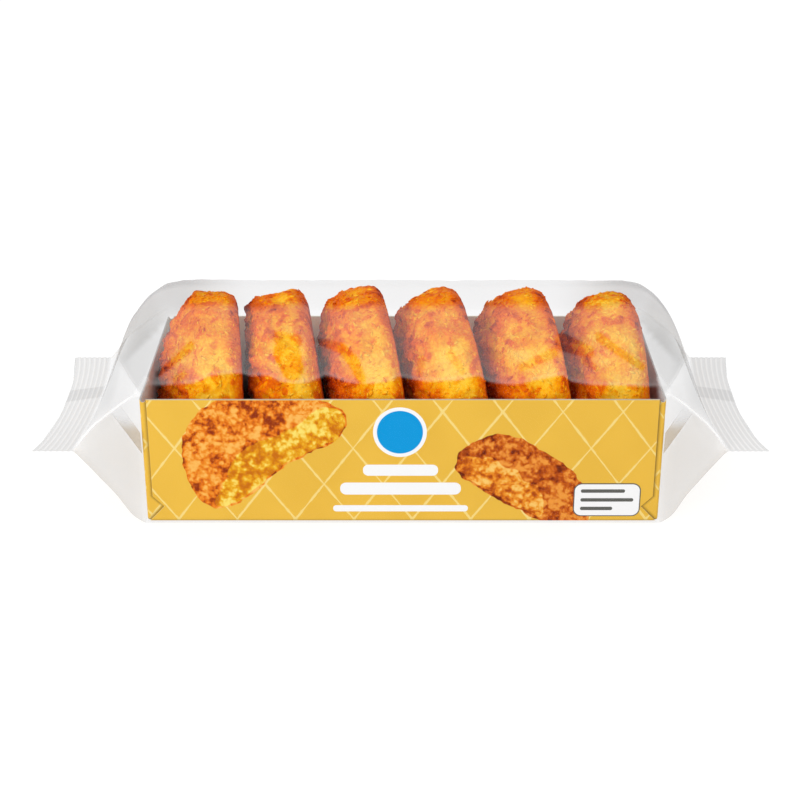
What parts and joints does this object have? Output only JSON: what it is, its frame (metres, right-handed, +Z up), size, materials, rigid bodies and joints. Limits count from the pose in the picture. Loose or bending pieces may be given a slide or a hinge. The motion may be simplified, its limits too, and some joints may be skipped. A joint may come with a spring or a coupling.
{
  "type": "pack of coconut macaroons",
  "caption": "Row of round baked coconut macaroons standing on edge in an open card tray, sealed in a clear film sleeve with a crimped fin at each end.",
  "frame": {"origin": "middle of the pack's footprint on its flat underside", "axes": "+X along the pack towards the macaroons' flat bases, +Y towards the back, +Z up"},
  "size_m": [0.247, 0.0796, 0.0722],
  "materials": {
    "clear_film": "clear, glossy",
    "printed_card": "satin print outside, grey unprinted board inside",
    "baked_coconut": "rough baked crust"
  },
  "bodies": {
    "root": {"film_wrap": "clear_film", "carton_tray": "printed_card", "macaroon_1": "baked_coconut", "macaroon_2": "baked_coconut", "macaroon_3": "baked_coconut", "macaroon_4": "baked_coconut", "macaroon_5": "baked_coconut", "macaroon_6": "baked_coconut"}
  },
  "joints": []
}
